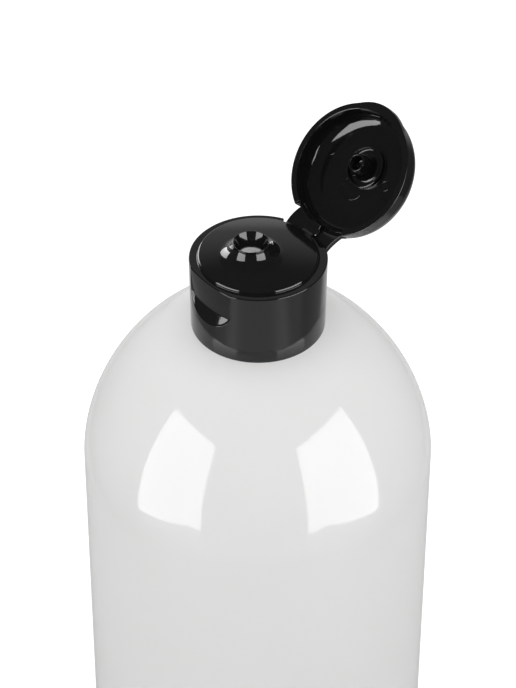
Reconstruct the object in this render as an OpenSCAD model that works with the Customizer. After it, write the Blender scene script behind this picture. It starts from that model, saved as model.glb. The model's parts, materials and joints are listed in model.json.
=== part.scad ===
// Half-litre round toiletry bottle with a domed shoulder and a one-piece flip-top dispensing closure.
// Millimetres. Z is up, the bottle stands on z = 0 and its axis is the Z axis.
// The front of the closure, with the thumb recess, faces -Y. The snap hinge is at +Y.
// The lid is drawn closed in its own frame and then opened to the angle that the photograph shows.

/* [Bottle] */
// outer diameter of the straight body
body_d = 73.5; // [66:0.5:80]
// height where the straight body ends and the domed shoulder begins
straight_h = 107.8; // [80:1:130]
// height of the dome, if it ran on to its own top
dome_h = 39.6; // [36:0.2:43]
// exponent of the dome's outline, where 2 is an ellipse and less is more pointed
dome_power = 1.8; // [1.7:0.02:1.95]
// wall of the blown body
bottle_wall = 1; // [0.8:0.1:1.3]
// radius of the rounded heel above the foot ring
heel_r = 5; // [4:0.5:7]
// how far the middle of the bottom is pushed up
push_up = 2.6; // [2:0.2:4]

/* [Neck] */
// outer diameter of the neck under its thread
neck_d = 21.9; // [21:0.1:23]
// wall of the neck
neck_wall = 1.8; // [1.4:0.1:2.1]
// height of the neck above the shoulder that it grows from
neck_h = 15.2; // [14.4:0.2:16.4]
// how far the neck's thread stands out
thread_depth = 0.95; // [0.8:0.05:1.1]
// rise of the thread in one turn
thread_pitch = 3.175; // [3:0.025:3.4]
// turns of thread on the neck
thread_turns = 1.5; // [1.25:0.25:1.75]

/* [Closure] */
// outer diameter of the closure at the line where lid and base meet
cap_d = 28; // [27.6:0.1:29.2]
// height of the closure's wall from its lower edge to that line
cap_wall_h = 16.37; // [15.8:0.1:17]
// how much narrower the wall is at its lower edge, in radius
cap_draft = 0.24; // [0.1:0.02:0.4]
// radius of the raised deck that the lid closes over
deck_r = 12.3; // [12:0.05:12.4]
// how far the deck's edge stands above the ledge
deck_step = 0.85; // [0.6:0.05:1]
// how far the middle of the deck stands above its edge
deck_crown = 1.1; // [0.6:0.1:1.2]

/* [Spout and pintle] */
// how far the spout lies in front of the closure's axis
spout_off = 1.9; // [1.4:0.1:2.2]
// outer radius of the spout's lip
spout_r = 3.7; // [3.4:0.05:3.8]
// height of the spout's lip above the ledge
spout_h = 4.8; // [4.4:0.1:4.9]
// radius of the hole that the product comes through
orifice_r = 2.17; // [1.9:0.01:2.3]
// clearance all round between that hole and the lid's pintle
pintle_gap = 0.12; // [0.08:0.01:0.2]

/* [Lid] */
// height of the closed lid above the ledge
lid_h = 6.4; // [6.2:0.1:7]
// radius of the lid's rounded top edge
lid_round = 4.4; // [3.6:0.1:4.6]
// wall of the lid at its rim
lid_wall = 1.3; // [1.1:0.05:1.4]
// how far the thumb lip stands out past the wall
lip_out = 0.7; // [0.4:0.1:1]
// half the angle that the thumb lip takes up
lip_half_angle = 27; // [22:1:30]
// angle that the lid stands open in the photograph
open_angle = 132.5; // [90:0.5:150]

/* [Snap hinge] */
// how far the hinge line lies outside the closure's wall
hinge_out = 0.3; // [0.2:0.05:0.5]
// half the angle of the posts in base and lid that the film hinge joins
post_half_angle = 6.2; // [4:0.2:8]
// angle from the hinge's middle to the far ends of the base's two windows
base_window_angle = 28; // [24:0.5:32]
// height of the base's windows
base_window_h = 3.3; // [2.4:0.1:3.6]
// angle from the hinge's middle to the far ends of the lid's two windows
lid_window_angle = 30.5; // [28:0.5:36]
// height of the lid's windows
lid_window_h = 2.3; // [2:0.1:2.6]
// thickness of a strap half way along
strap_t = 1.25; // [0.8:0.05:1.3]
// how far the film hinge's seat cuts down the edge of each post
film_seat = 0.4; // [0.3:0.05:0.5]

/* [Thumb recess] */
// half the width of the recess
recess_half_w = 6.05; // [5.4:0.05:6.6]
// how far down the wall the recess reaches
recess_h = 9.5; // [8.5:0.1:10.5]
// depth of the recess at the ledge
recess_top_depth = 0.75; // [0.6:0.05:0.85]
// depth of the recess where its back meets its sloping floor
recess_low_depth = 1.25; // [1:0.05:1.3]

/* [Hidden] */
e = 0.02;
body_r = body_d / 2;
neck_r = neck_d / 2;
neck_in_r = neck_r - neck_wall;
cap_r = cap_d / 2;
cap_low_r = cap_r - cap_draft;

// The dome is a superellipse down to a slope of about 40 degrees, then a round arc to the neck's foot.
join_t = 53;
foot_slope = 4;
dome_p = 2 / dome_power;
join_r = body_r * pow(cos(join_t), dome_p);
join_z = dome_h * pow(sin(join_t), dome_p);
join_slope = atan(dome_h / body_r * pow(sin(join_t), dome_p - 2) * pow(cos(join_t), 2 - dome_p));
arc_r = (join_r - cap_low_r - 0.1) / (sin(join_slope) - sin(foot_slope));
foot_edge_r = join_r - arc_r * (sin(join_slope) - sin(foot_slope));
foot_edge_z = join_z + arc_r * (cos(foot_slope) - cos(join_slope));
foot_z = straight_h + foot_edge_z + (foot_edge_r - neck_r) * tan(foot_slope);
neck_top = foot_z + neck_h;

// Heights of the closure. The ledge is the plane where lid and base meet.
liner_t = 1;
liner_gap = e;
deck_under = -0.4;
ledge_z = neck_top + liner_t + 2 * liner_gap - deck_under;
cap_low_z = ledge_z - cap_wall_h;

// Threads. The closure's thread runs midway between the turns of the neck's.
thread_run = 0.25;
bore_r = neck_r + thread_depth + thread_run;
cap_crest_r = neck_r + thread_run;
thread_top_gap = 2.4;
thread_z0 = neck_top - thread_top_gap - thread_pitch * thread_turns;

// Hinge line, in the closure's own frame.
hinge_y = cap_r + hinge_out;
lid_in_r = cap_r - lid_wall;
lid_gap = 0.03;
ceiling_z = 5.1;
window_in_r = deck_r + 0.45;

// Slope angle of the dome's superellipse at parameter t
function dome_slope(t) = atan(dome_h / body_r * pow(sin(t), dome_p - 2) * pow(cos(t), 2 - dome_p));
// Point of the dome at parameter t, moved inwards by k along the surface normal
function dome_point(t, k) = [
    body_r * pow(cos(t), dome_p) - k * sin(t < 1 ? 90 : dome_slope(t)),
    straight_h + dome_h * pow(sin(t), dome_p) - k * cos(t < 1 ? 90 : dome_slope(t))
];
// Point of the arc above the dome at slope a, moved inwards by k
function arc_point(a, k) = [
    join_r - arc_r * sin(join_slope) + (arc_r - k) * sin(a),
    straight_h + join_z - arc_r * cos(join_slope) + (arc_r - k) * cos(a)
];
function shoulder(k) = concat(
    [for (t = [0 : join_t / 20 : join_t]) dome_point(t, k)],
    [for (i = [1 : 8]) arc_point(join_slope + (foot_slope - join_slope) * i / 8, k)]
);
// Quarter turn of radius r about a centre, from angle a to angle b
function bend(cx, cz, r, a, b, n = 8) = [
    for (i = [0 : n]) [cx + r * cos(a + (b - a) * i / n), cz + r * sin(a + (b - a) * i / n)]
];

module bottle_outline() {
    w = bottle_wall;
    polygon(concat(
        [[0, push_up]],
        bend(body_r - heel_r - 4, -push_up * 0.2, push_up * 0.7, 70, 20, 4),
        [[body_r - heel_r - 1.2, 0]],
        bend(body_r - heel_r, heel_r, heel_r, -90, 0),
        shoulder(0),
        [[neck_r + 0.6, foot_z], [neck_r, foot_z + 0.6]],
        bend(neck_r - 0.4, neck_top - 0.4, 0.4, 0, 90, 4),
        [[neck_in_r, neck_top]],
        [[neck_in_r, foot_z - w - 0.4]],
        [for (i = [len(shoulder(w)) - 1 : -1 : 0]) shoulder(w)[i]],
        bend(body_r - heel_r, heel_r, heel_r - w, 0, -90),
        [[body_r - heel_r - 4, w + push_up * 0.62], [0, push_up + w]]
    ));
}

// A helical ridge as a solid. Its profile is a trapezoid with its base at radius ra and its crest at
// radius rb, which is smaller than ra on an internal thread. Both ends run out over taper degrees.
module thread_ridge(ra, rb, half_base, half_crest, pitch, turns, steps = 30, taper = 25) {
    n = ceil(steps * turns);
    total = 360 * turns;
    way = rb > ra ? 1 : -1;
    pts = [for (i = [0 : n]) let(
            a = total * i / n,
            f = max(0.04, min(1, min(a, total - a) / taper)),
            z = pitch * a / 360,
            rc = ra + (rb - ra) * f,
            hb = way * half_base * (0.55 + 0.45 * f),
            hc = way * half_crest * (0.55 + 0.45 * f)
        ) each [
            [ra * cos(a), ra * sin(a), z - hb],
            [rc * cos(a), rc * sin(a), z - hc],
            [rc * cos(a), rc * sin(a), z + hc],
            [ra * cos(a), ra * sin(a), z + hb]
        ]
    ];
    sides = [for (i = [0 : n - 1], k = [0 : 3]) let(
            p = 4 * i + k,
            q = 4 * i + (k + 1) % 4
        ) each [[p, q, q + 4], [p, q + 4, p + 4]]
    ];
    last = 4 * n;
    ends = [[0, 2, 1], [0, 3, 2], [last, last + 1, last + 2], [last, last + 2, last + 3]];
    polyhedron(pts, concat(sides, ends), convexity = 6);
}

module bottle() {
    color("gainsboro")
    union() {
        rotate_extrude($fn = 96) bottle_outline();
        translate([0, 0, thread_z0])
        thread_ridge(neck_r - 0.3, neck_r + thread_depth, 1.3, 0.45, thread_pitch, thread_turns);
    }
}

// Ring of foamed sealing sheet between the neck's rim and the deck
module liner() {
    color("white")
    translate([0, 0, neck_top + liner_gap])
    difference() {
        cylinder(h = liner_t, r = bore_r - 0.25, $fn = 64);
        translate([0, 0, -1]) cylinder(h = liner_t + 2, r = neck_in_r - 0.4, $fn = 64);
    }
}

// Outer form of the base: wall, ledge and crowned deck, in the closure's frame
module base_outline() {
    top = deck_step + deck_crown;
    edge = 0.55;
    polygon(concat(
        [[0, -cap_wall_h]],
        bend(cap_low_r - 0.3, -cap_wall_h + 0.3, 0.3, -90, 0, 4),
        bend(cap_r - 0.15, -0.15, 0.15, 0, 90, 3),
        [[deck_r, 0]],
        bend(deck_r - edge, deck_step - edge, edge, 0, 80, 6),
        [for (i = [1 : 12]) let(r = (deck_r - edge) * (1 - i / 12), u = r / (deck_r - edge))
            [r, top - deck_crown * u * u]]
    ));
}

// Flared spout about its own axis, solid
module spout_outline() {
    flare_r = 3.1;
    low = 1.2;
    polygon(concat(
        [[0, low], [spout_r + flare_r, low]],
        [for (i = [10 : -1 : 0]) [
            spout_r - 0.05 + flare_r - flare_r * cos(90 * i / 10),
            spout_h - 0.2 - (spout_h - 0.2 - low - 0.35) * sin(90 * i / 10)
        ]],
        bend(spout_r - 0.15, spout_h - 0.15, 0.15, 0, 90, 3),
        [[0, spout_h]]
    ));
}

// Funnel, hole and the hollow under the deck, about the spout's axis
module spout_bore_outline() {
    hole_z = 2.15;
    polygon([
        [0, deck_under - 1],
        [7.2, deck_under - 1],
        [7.2, deck_under],
        [3.6, 0.75],
        [orifice_r + 0.9, 0.85],
        [orifice_r, 0.85],
        [orifice_r, hole_z],
        [spout_r - 0.25, spout_h + 0.01],
        [spout_r - 0.25, spout_h + 1],
        [0, spout_h + 1]
    ]);
}

// U-shaped outline of the thumb recess, seen from the front
module recess_outline() {
    straight = recess_h * 0.515;
    polygon(concat(
        [[recess_half_w, 2], [-recess_half_w, 2]],
        [for (i = [0 : 16]) [
            -recess_half_w * cos(180 * i / 16),
            -straight - (recess_h - straight) * sin(180 * i / 16)
        ]]
    ));
}

// What the thumb recess takes away: behind the U lies a back wall, then a floor that slopes out
module thumb_recess() {
    big_r = 32;
    back_z = -recess_h * 0.69;
    intersection() {
        translate([0, -cap_r + 4, 0]) rotate([90, 0, 0]) linear_extrude(height = 8) recess_outline();
        translate([0, big_r - cap_r, 0])
        rotate([0, 0, -110])
        rotate_extrude(angle = 40, $fn = 180)
        polygon([
            [big_r - recess_top_depth, 1],
            [big_r - recess_top_depth, 0],
            [big_r - recess_low_depth, back_z],
            [big_r - cap_draft * 0.6, -recess_h],
            [big_r + 3, -recess_h - 4],
            [big_r + 3, 1]
        ]);
    }
}

// Two parts of a ring about the closure's axis, one on each side of the hinge's post
module hinge_windows(r_in, z_low, z_high, far_angle) {
    for (start = [90 - far_angle, 90 + post_half_angle])
    rotate([0, 0, start])
    rotate_extrude(angle = far_angle - post_half_angle, $fn = 96)
    translate([r_in, z_low]) square([cap_r + 1 - r_in, z_high - z_low]);
}

// What the film hinge's seat takes off a post: all that lies past a slope across its outer edge.
// way is 1 for the base's post and -1 for the lid's, which is the other way up.
module film_seat_cut(edge_z, way) {
    // wider than a post
    post_room = 4;
    translate([-post_room / 2, 0, edge_z])
    rotate([90, 0, 90])
    linear_extrude(height = post_room)
    polygon([[cap_r - film_seat - 1, way], [cap_r + 1, way], [cap_r + 1, -way * (film_seat + 1)]]);
}

module cap_base() {
    color("dimgray")
    translate([0, 0, ledge_z])
    difference() {
        union() {
            difference() {
                union() {
                    rotate_extrude($fn = 96) base_outline();
                    translate([0, -spout_off, 0]) rotate_extrude($fn = 64) spout_outline();
                }
                // bore for the neck, with a lead-in at its lower edge
                translate([0, 0, -cap_wall_h - 1])
                cylinder(h = cap_wall_h + 1 + deck_under, r = bore_r, $fn = 96);
                translate([0, 0, -cap_wall_h - 0.5])
                cylinder(h = 1.2, r1 = bore_r + 0.9, r2 = bore_r, $fn = 96);
                translate([0, -spout_off, 0]) rotate_extrude($fn = 64) spout_bore_outline();
            }
            translate([0, 0, thread_z0 - ledge_z - thread_pitch / 2])
            thread_ridge(bore_r + 0.3, cap_crest_r, 1, 0.3, thread_pitch, thread_turns);
        }
        thumb_recess();
        hinge_windows(window_in_r, -base_window_h, 0.5, base_window_angle);
        film_seat_cut(0, 1);
    }
}

// Place a thing drawn in the closed lid's frame where the open lid is
module opened() {
    translate([0, hinge_y, ledge_z])
    rotate([-open_angle, 0, 0])
    translate([0, -hinge_y, 0])
    children();
}

// The same turn for a point of the plane square to the hinge line, given as [y, z]
function opened_point(p) = [
    hinge_y + (p[0] - hinge_y) * cos(open_angle) + p[1] * sin(open_angle),
    (hinge_y - p[0]) * sin(open_angle) + p[1] * cos(open_angle)
];

module lid_outer_outline() {
    shoulder_z = lid_h - lid_round;
    polygon(concat(
        [[0, lid_gap]],
        [[cap_r - 0.1, lid_gap], [cap_r, lid_gap + 0.1]],
        bend(cap_r - 0.12 - lid_round, shoulder_z, lid_round, 0, 90, 12),
        [[0, lid_h + 0.1]]
    ));
}

module lid_inner_outline() {
    round_in = lid_round - 1.2;
    polygon(concat(
        [[0, -1], [lid_in_r + 0.15, -1], [lid_in_r + 0.15, lid_gap], [lid_in_r, lid_gap + 0.2]],
        bend(lid_in_r - 0.05 - round_in, ceiling_z - round_in, round_in, 0, 90, 10),
        [[0, ceiling_z]]
    ));
}

// Hollow plug on the lid that closes the spout's hole
module pintle_outline() {
    plug_r = orifice_r - pintle_gap;
    polygon([
        [0, ceiling_z + 0.3],
        [3.3, ceiling_z + 0.3],
        [3.2, ceiling_z],
        [2.65, ceiling_z - 0.25],
        [2.35, ceiling_z - 0.9],
        [plug_r, 2.15],
        [plug_r - 0.25, 1.2],
        [plug_r - 0.45, 1],
        [plug_r - 0.85, 1],
        [plug_r - 1, 1.2],
        [plug_r - 1, 3],
        [0, 3]
    ]);
}

module lid() {
    // the thumb lip is a disc pushed forward so that it stands out by lip_out and meets the wall
    // at plus and minus lip_half_angle
    reach = cap_r + lip_out;
    lip_y = (reach * reach - cap_r * cap_r) / (2 * (reach - cap_r * cos(lip_half_angle)));
    lip_r = reach - lip_y;
    lip_h = 1.2;
    color("dimgray")
    opened()
    union() {
        difference() {
            union() {
                rotate_extrude($fn = 96) lid_outer_outline();
                translate([0, -lip_y, lid_gap]) cylinder(h = lip_h, r = lip_r, $fn = 96);
                translate([0, -lip_y, lid_gap + lip_h])
                cylinder(h = lip_h + 0.2, r1 = lip_r, r2 = lip_r - lip_out - 0.3, $fn = 96);
            }
            rotate_extrude($fn = 96) lid_inner_outline();
            hinge_windows(lid_in_r - 1, -1, lid_window_h, lid_window_angle);
            film_seat_cut(lid_gap, -1);
        }
        translate([0, -spout_off, 0]) rotate_extrude($fn = 48) pintle_outline();
        // ring that closes round the spout's lip
        translate([0, -spout_off, ceiling_z - 0.95])
        difference() {
            cylinder(h = 1.2, r = spout_r + 0.75, $fn = 64);
            translate([0, 0, -1]) cylinder(h = 4, r = spout_r + 0.27, $fn = 64);
        }
    }
}

// One strap of the snap hinge, bent as it is with the lid open. It runs from the floor of the base's
// window to the top of the lid's. side is -1 for the strap at -X and 1 for the strap at +X.
module strap(side) {
    n = 12;
    m = 8;
    mid_r = (window_in_r + cap_r) / 2;
    // degrees left free between a strap and the post, and at the far ends of the base's and lid's windows
    clear = 0.6;
    clear_base = 1;
    clear_lid = 2;
    // how far a strap runs on straight at either end before it bends
    straight_base = 2.6;
    straight_lid = 0.9;
    first = post_half_angle + clear;
    // y is measured along the closure's back direction, z from the ledge
    up_lid = [sin(open_angle), cos(open_angle)];
    pts = [for (j = [0 : m], i = [0 : n]) let(
            base_d = first + (base_window_angle - clear_base - first) * j / m,
            lid_d = first + (lid_window_angle - clear_lid - first) * j / m,
            p0 = [mid_r * cos(base_d), -base_window_h],
            p3 = opened_point([mid_r * cos(lid_d), lid_window_h]),
            p1 = p0 + [0, straight_base],
            p2 = p3 - straight_lid * up_lid,
            s = i / n,
            x = side * mid_r * (sin(base_d) + (sin(lid_d) - sin(base_d)) * s * s * (3 - 2 * s)),
            c = pow(1 - s, 3) * p0 + 3 * s * pow(1 - s, 2) * p1 + 3 * s * s * (1 - s) * p2 + pow(s, 3) * p3,
            g = 3 * pow(1 - s, 2) * (p1 - p0) + 6 * s * (1 - s) * (p2 - p1) + 3 * s * s * (p3 - p2),
            w = strap_t / 2 * (0.55 + 0.45 * sin(180 * s)) / norm(g)
        ) each [
            [x, c[0] + g[1] * w, ledge_z + c[1] - g[0] * w],
            [x, c[0] - g[1] * w, ledge_z + c[1] + g[0] * w]
        ]
    ];
    row = 2 * (n + 1);
    skin = [for (j = [0 : m - 1], i = [0 : n - 1]) let(p = row * j + 2 * i) each [
        [p, p + 2, p + row], [p + 2, p + row + 2, p + row],
        [p + 1, p + row + 1, p + 3], [p + 3, p + row + 1, p + row + 3]
    ]];
    edges = [for (i = [0 : n - 1]) let(p = 2 * i, q = row * m + 2 * i) each [
        [p, p + 1, p + 2], [p + 2, p + 1, p + 3],
        [q, q + 2, q + 1], [q + 2, q + 3, q + 1]
    ]];
    tips = [for (j = [0 : m - 1]) let(p = row * j, q = row * j + 2 * n) each [
        [p, p + row, p + 1], [p + row, p + row + 1, p + 1],
        [q, q + 1, q + row], [q + row, q + 1, q + row + 1]
    ]];
    faces = concat(skin, edges, tips);
    color("dimgray")
    polyhedron(pts, side < 0 ? faces : [for (f = faces) [f[2], f[1], f[0]]], convexity = 4);
}

module hinge_strap_left() {
    strap(-1);
}

module hinge_strap_right() {
    strap(1);
}

// Film that joins the two posts along the hinge line, thin in its middle, bent as with the lid open
module hinge_film() {
    half_w = 1.4;
    half_t = 0.16;
    // the film's outer side lies this far inside the posts' outer faces
    inset = 0.1;
    seats = [
        [cap_r - film_seat, 0],
        opened_point([cap_r - film_seat, lid_gap]),
        opened_point([cap_r - inset, lid_gap + film_seat - inset]),
        [cap_r - inset, inset - film_seat]
    ];
    above = 2 * [hinge_y, half_t] - (seats[0] + seats[1]) / 2;
    below = 2 * [hinge_y, -half_t] - (seats[2] + seats[3]) / 2;
    color("dimgray")
    translate([-half_w, 0, ledge_z])
    rotate([90, 0, 90])
    linear_extrude(height = 2 * half_w)
    polygon(concat(
        [for (s = [0 : 0.2 : 1]) pow(1 - s, 2) * seats[0] + 2 * s * (1 - s) * above + s * s * seats[1]],
        [for (s = [0 : 0.2 : 1]) pow(1 - s, 2) * seats[2] + 2 * s * (1 - s) * below + s * s * seats[3]]
    ));
}

bottle();
liner();
cap_base();
hinge_strap_left();
hinge_strap_right();
hinge_film();
lid();
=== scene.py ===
# %% [markdown]
# # A flip-top bottle
#
# The object is a half-litre toiletry bottle, blown in milky white plastic, with a screw-on closure that is
# moulded in glossy black. The closure's lid stands open on its snap hinge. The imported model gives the
# frame: every size, joint and place comes from there. This script makes the surfaces that are seen.
#
# Each piece is a grid of points that a formula gives, so a curve stays smooth however near the camera is.
# The other ways would be to sculpt, or to cut solids out of each other, but a formula keeps each edge's
# radius exact, and the same numbers can be read, changed and run again.

# %% Load the frame
import json
import math

import bmesh
import bpy
import numpy as np
from mathutils import Matrix, Vector


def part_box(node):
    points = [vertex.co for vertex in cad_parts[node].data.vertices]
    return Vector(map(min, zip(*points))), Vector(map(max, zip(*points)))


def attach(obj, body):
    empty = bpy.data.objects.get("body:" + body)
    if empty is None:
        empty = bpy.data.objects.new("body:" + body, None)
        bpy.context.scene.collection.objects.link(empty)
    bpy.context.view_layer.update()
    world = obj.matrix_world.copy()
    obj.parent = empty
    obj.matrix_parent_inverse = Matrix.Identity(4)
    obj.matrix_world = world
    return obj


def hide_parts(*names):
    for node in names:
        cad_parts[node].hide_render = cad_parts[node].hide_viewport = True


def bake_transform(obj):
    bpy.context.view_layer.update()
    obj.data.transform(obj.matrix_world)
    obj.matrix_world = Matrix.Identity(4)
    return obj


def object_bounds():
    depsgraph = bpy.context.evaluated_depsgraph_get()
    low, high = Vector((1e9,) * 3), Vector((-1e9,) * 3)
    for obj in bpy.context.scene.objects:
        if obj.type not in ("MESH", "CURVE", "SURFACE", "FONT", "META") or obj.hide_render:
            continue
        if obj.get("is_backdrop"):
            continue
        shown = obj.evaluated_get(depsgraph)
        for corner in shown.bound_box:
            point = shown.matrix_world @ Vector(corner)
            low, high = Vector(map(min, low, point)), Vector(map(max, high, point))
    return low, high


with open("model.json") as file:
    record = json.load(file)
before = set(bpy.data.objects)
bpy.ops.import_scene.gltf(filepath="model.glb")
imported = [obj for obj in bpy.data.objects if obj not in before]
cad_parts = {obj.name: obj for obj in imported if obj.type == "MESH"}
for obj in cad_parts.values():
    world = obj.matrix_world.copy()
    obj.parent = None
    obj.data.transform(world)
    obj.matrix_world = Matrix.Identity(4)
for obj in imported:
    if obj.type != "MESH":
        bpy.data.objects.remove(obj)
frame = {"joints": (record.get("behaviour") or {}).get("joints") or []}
cad_low, cad_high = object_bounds()

# %% [markdown]
# ## Sizes
#
# Everything is worked out in millimetres, which suit a moulded closure, and turned into metres when a mesh
# is made. The places that the frame holds are read from it: the ledge is the plane where lid and base meet,
# and the hinge line lies at its height. What remains is the moulding's own detail, such as its roundings.

# %% Sizes from the frame
MM = 0.001


def node_size(name):
    """Lowest and highest corner of a node in millimetres."""
    low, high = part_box(name)
    return np.array(low) / MM, np.array(high) / MM


flip = next(j for j in frame["joints"] if j["name"] == "lid_flip")
LEDGE_Z = flip["pos_m"][2] / MM
HINGE_Y = flip["pos_m"][1] / MM
OPEN_ANGLE = -math.radians(flip["range_deg"][0])
BODY_R = node_size("bottle")[1][0]
NECK_TOP = node_size("bottle")[1][2]
CAP_R = node_size("cap_base")[1][0]
WALL_H = LEDGE_Z - node_size("cap_base")[0][2]
SPOUT_H = node_size("cap_base")[1][2] - LEDGE_Z
print(f"ledge {LEDGE_Z:.2f} mm, body radius {BODY_R:.2f}, closure radius {CAP_R:.2f}, wall {WALL_H:.2f}")

# %% [markdown]
# ## Grids
#
# A surface of two parameters becomes rows and columns of points. The rows follow the outline of the
# moulding, as a lathe tool would, and the columns go round the axis. A helper joins neighbours with
# quads, closes the seam, and merges the points of a row that has shrunk to a pole. Another one samples
# an outline from straight lines and round bends, with more rows where the surface turns.

# %% Grid helpers
MERGE = 1e-7


def grid_quads(rows, columns, closed_rows):
    """Four corners for each cell of a grid whose columns close on themselves: here, next column, next
    row's next column, next row. Rows close too on a ring-shaped piece."""
    index = np.arange(rows * columns).reshape(rows, columns)
    index = np.hstack([index, index[:, :1]])
    if closed_rows:
        index = np.vstack([index, index[:1]])
    cells = [index[:-1, :-1], index[:-1, 1:], index[1:, 1:], index[1:, :-1]]
    return np.stack(cells, -1).reshape(-1, 4)


def outward(points, quads):
    """True if the quads' corners turn so that the closed surface holds a positive volume, which is the sum
    over its triangles of corner one dotted with the cross product of the other two, over six."""
    triangles = np.vstack([quads[:, [0, 1, 2]], quads[:, [0, 2, 3]]])
    a, b, c = (points[triangles[:, k]] for k in range(3))
    return np.einsum("ij,ij->i", a, np.cross(b, c)).sum() > 0


def add_piece(name, grid, closed_rows=False):
    """A smooth mesh object from a rows by columns by 3 array in millimetres, its place in its mesh."""
    rows, columns = grid.shape[:2]
    points = grid.reshape(-1, 3) * MM
    quads = grid_quads(rows, columns, closed_rows)
    if not outward(points - points.mean(0), quads):
        quads = quads[:, ::-1]
    mesh = bpy.data.meshes.new(name)
    mesh.from_pydata(points.tolist(), [], quads.tolist())
    work = bmesh.new()
    work.from_mesh(mesh)
    bmesh.ops.remove_doubles(work, verts=work.verts, dist=MERGE)
    work.to_mesh(mesh)
    work.free()
    mesh.polygons.foreach_set("use_smooth", np.ones(len(mesh.polygons), bool))
    mesh.update()
    piece = bpy.data.objects.new(name, mesh)
    bpy.context.scene.collection.objects.link(piece)
    print(f"{name}: {len(mesh.vertices)} points, {len(mesh.polygons)} faces")
    return piece


# %% Outline helpers
def line(start, end, count):
    """count points from start towards end, without the last, so that stretches can follow on."""
    t = np.linspace(0, 1, count, endpoint=False)[:, None]
    return np.array(start) * (1 - t) + np.array(end) * t


def bend(centre, radius, first, last, count):
    """Round stretch: centre plus radius times (cos, sin) of an angle that runs from first to last, in
    degrees, without its last point."""
    angle = np.radians(np.linspace(first, last, count, endpoint=False))
    return np.array(centre) + radius * np.stack([np.cos(angle), np.sin(angle)], -1)


def smooth_step(x):
    """0 below 0, 1 above 1, and 3 x squared minus 2 x cubed between."""
    x = np.clip(x, 0, 1)
    return x * x * (3 - 2 * x)


def soft_max(a, b, width):
    """The larger of two values, rounded over where they lie within width of each other: their mean plus
    half the root of their difference squared plus width squared."""
    return (a + b + np.sqrt((a - b) ** 2 + width**2)) / 2


def round_the_axis(radius, height, angle, forward=0.0):
    """Point at a radius and height, at an angle from the front towards +X. forward shifts a row's own
    centre to the front, as the spout's is."""
    x = radius * np.sin(angle)
    y = -radius * np.cos(angle) - forward
    return np.stack(np.broadcast_arrays(x, y, height), -1)


def turned_rows(rows, angle, forward=0.0):
    """Every row of an outline, which is a radius and a height, turned round the axis."""
    return round_the_axis(rows[:, :1], rows[:, 1:], angle, forward)


def even_angles(count):
    return np.linspace(0, 2 * np.pi, count, endpoint=False)


def packed_angles(*stretches):
    """Angles round the whole circle, in radians, from (start, end, count) stretches in degrees."""
    parts = [np.linspace(a, b, n, endpoint=False) for a, b, n in stretches]
    return np.radians(np.concatenate(parts))


# %% [markdown]
# ## The thread
#
# The neck carries a single-start right-handed thread of one and a half turns, and the closure carries the
# same thread turned inside. Both are a ridge on a round wall, so they are made as a change of radius: at
# each point of the wall, the distance along the axis to the helix says how high the ridge stands there.

# %% Thread function
PITCH = 3.175
TURNS = 1.5
THREAD_DEPTH = 0.95
RUN_OUT = math.radians(25)


def thread_height(angle, height, start, half_base, half_crest):
    """Height of a trapezoid ridge at an angle (from the front) and height. The helix rises by PITCH each
    turn from start, at an angle counted from +X. Its flank falls evenly from half_crest to half_base away
    from its middle, and it runs out over RUN_OUT at both ends."""
    from_x = (angle - np.pi / 2) % (2 * np.pi)
    ridge = 0
    for lap in range(math.ceil(TURNS)):
        turned = from_x + 2 * np.pi * lap
        end = 2 * np.pi * TURNS
        share = np.clip(np.minimum(turned, end - turned) / RUN_OUT, 0, 1)
        away = np.abs(height - start - PITCH * turned / (2 * np.pi))
        flank = (half_base - away) / (half_base - half_crest)
        ridge = np.maximum(ridge, smooth_step(flank) * share)
    return ridge * THREAD_DEPTH


# %% [markdown]
# ## The bottle
#
# A blown bottle is one closed skin. Its outline starts at the pushed-up middle of the foot, turns round
# the foot ring and heel, goes up the straight body, over the dome and up the neck, and comes back down
# inside. The dome is a superellipse, which is fuller than an ellipse when its exponent is above two and
# more pointed below it. Near the neck it goes over into a round arc that almost levels out.

# %% Bottle outline
STRAIGHT_H = 107.8
DOME_H = 39.6
DOME_POWER = 1.8
DOME_END = math.radians(53)
FOOT_SLOPE = math.radians(4)
HEEL_R = 5.0
RING_W = 1.0
RING_BEVEL_W, RING_BEVEL_H = 1.6, 0.25
PUSH_UP = 2.6
DISH_W, DISH_SHARE = 5.0, 0.62
BOTTLE_WALL = 1.0
NECK_R = 10.95
NECK_IN_R = 9.15
NECK_FILLET = 0.7
NECK_ROUND, MOUTH_ROUND = 0.4, 0.3
CAP_TAPER = 0.24
CAP_LOW_R = CAP_R - CAP_TAPER


def dome(t, inset):
    """Point of the superellipse at parameter t: the radius is the body's times cos t to the power of
    2 over DOME_POWER, the rise the dome's height times sin t to that power. inset moves it inwards along
    the normal."""
    p = 2 / DOME_POWER
    c, s = np.cos(t), np.sin(t)
    point = np.stack([BODY_R * c**p, STRAIGHT_H + DOME_H * s**p], -1)
    normal = np.stack([DOME_H * s ** (p - 1) * c, BODY_R * c ** (p - 1) * s], -1)
    normal /= np.linalg.norm(normal, axis=-1, keepdims=True)
    return point - inset * normal


def dome_slope(t):
    """Steepness of the dome at t, as the angle below the horizontal."""
    p = 2 / DOME_POWER
    return math.atan(DOME_H / BODY_R * math.sin(t) ** (p - 2) * math.cos(t) ** (2 - p))


JOIN_SLOPE = dome_slope(DOME_END)
JOIN = dome(np.array([DOME_END]), 0)[0]
ARC_R = (JOIN[0] - CAP_LOW_R - 0.1) / (math.sin(JOIN_SLOPE) - math.sin(FOOT_SLOPE))
ARC_CENTRE = JOIN - ARC_R * np.array([math.sin(JOIN_SLOPE), math.cos(JOIN_SLOPE)])
FOOT_EDGE = ARC_CENTRE + ARC_R * np.array([math.sin(FOOT_SLOPE), math.cos(FOOT_SLOPE)])
NECK_FOOT = FOOT_EDGE[1] + (FOOT_EDGE[0] - NECK_R) * math.tan(FOOT_SLOPE)


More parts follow.
